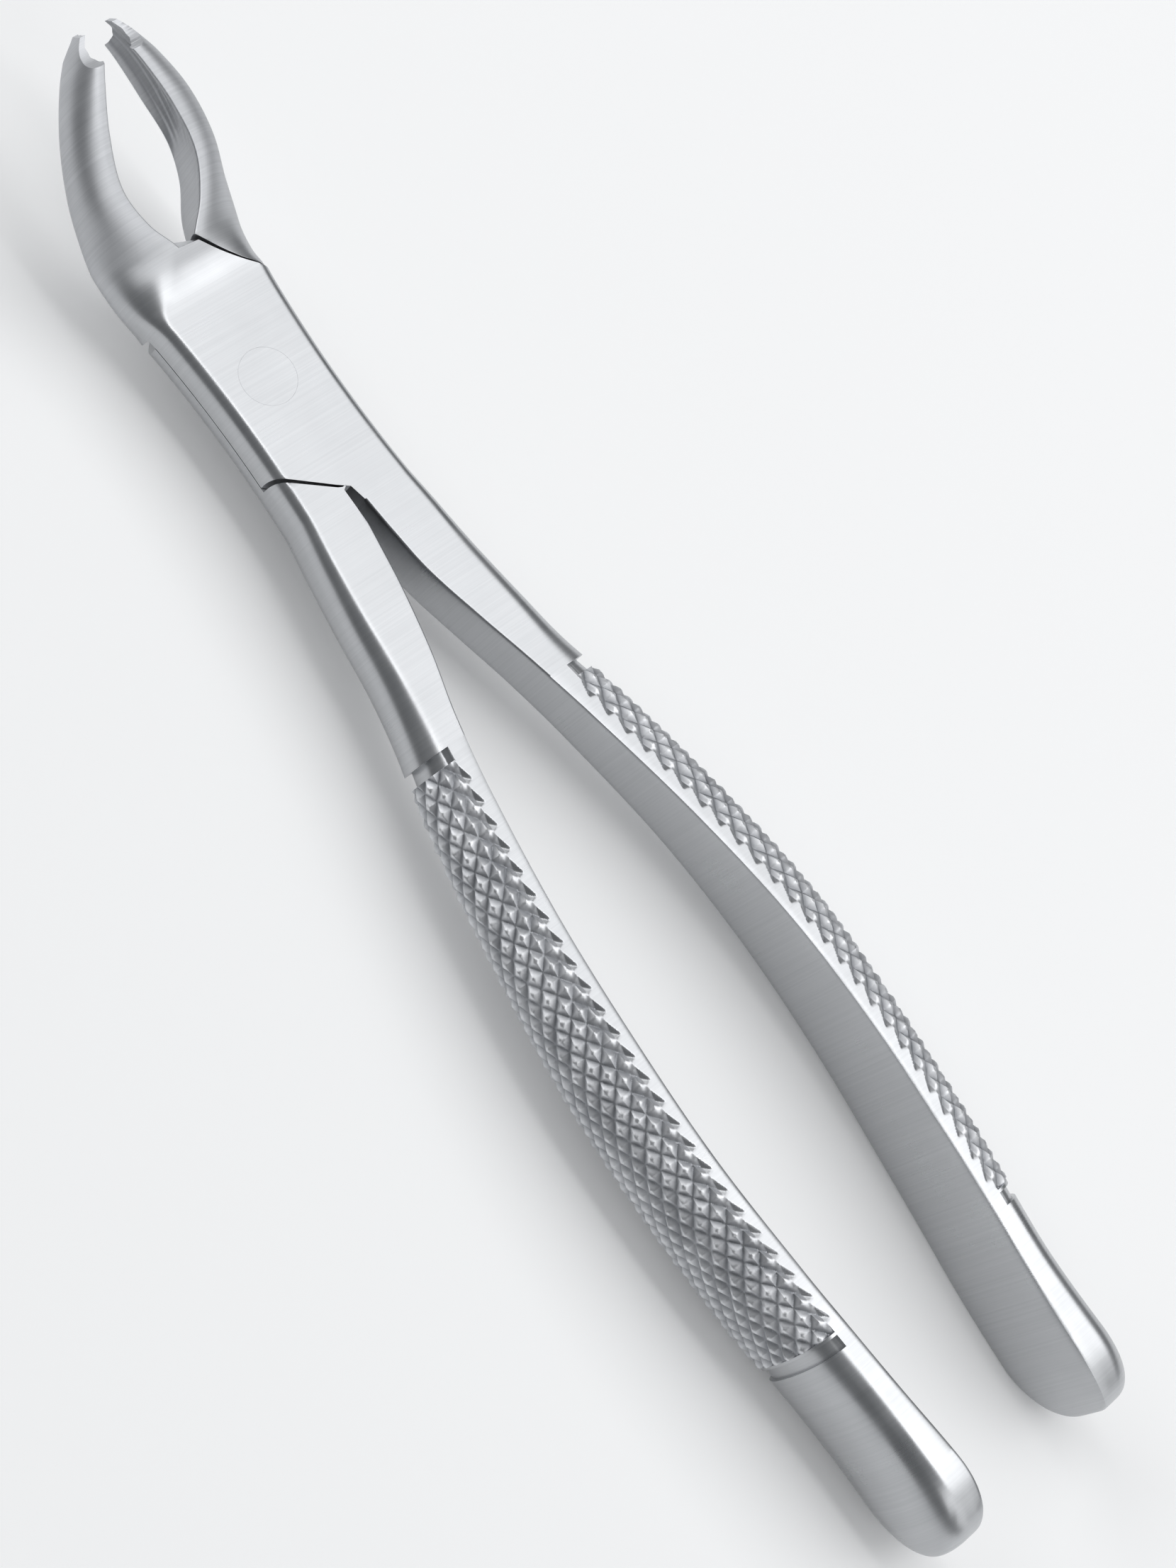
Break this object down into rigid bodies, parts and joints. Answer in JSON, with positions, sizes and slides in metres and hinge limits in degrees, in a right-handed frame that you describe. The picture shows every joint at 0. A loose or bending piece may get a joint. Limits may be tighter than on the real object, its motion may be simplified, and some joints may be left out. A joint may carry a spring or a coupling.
{
  "type": "extraction forceps",
  "caption": "Dental extraction forceps with hollow pointed beaks, a riveted lap joint and long handles with a diamond-patterned grip.",
  "frame": {"origin": "on the pivot axis, in the flat back face of the joint's rear lap plate", "axes": "+X along the instrument towards the beaks, +Y towards the left handle as seen from the front, +Z along the pivot axis out of the front face, the way the beaks bend"},
  "size_m": [0.1726, 0.0368, 0.0234],
  "materials": {
    "front_half": "satin",
    "rear_half": "satin",
    "pivot_pin": "satin"
  },
  "bodies": {
    "front": {"front_half": "front_half", "pivot_pin": "pivot_pin"},
    "rear": {"rear_half": "rear_half"}
  },
  "joints": [
    {"name": "pivot", "type": "hinge", "parent": "front", "child": "rear", "pos_m": [0, 0, 0], "axis": [0, 0, 1], "range_deg": [-28, 2]}
  ]
}
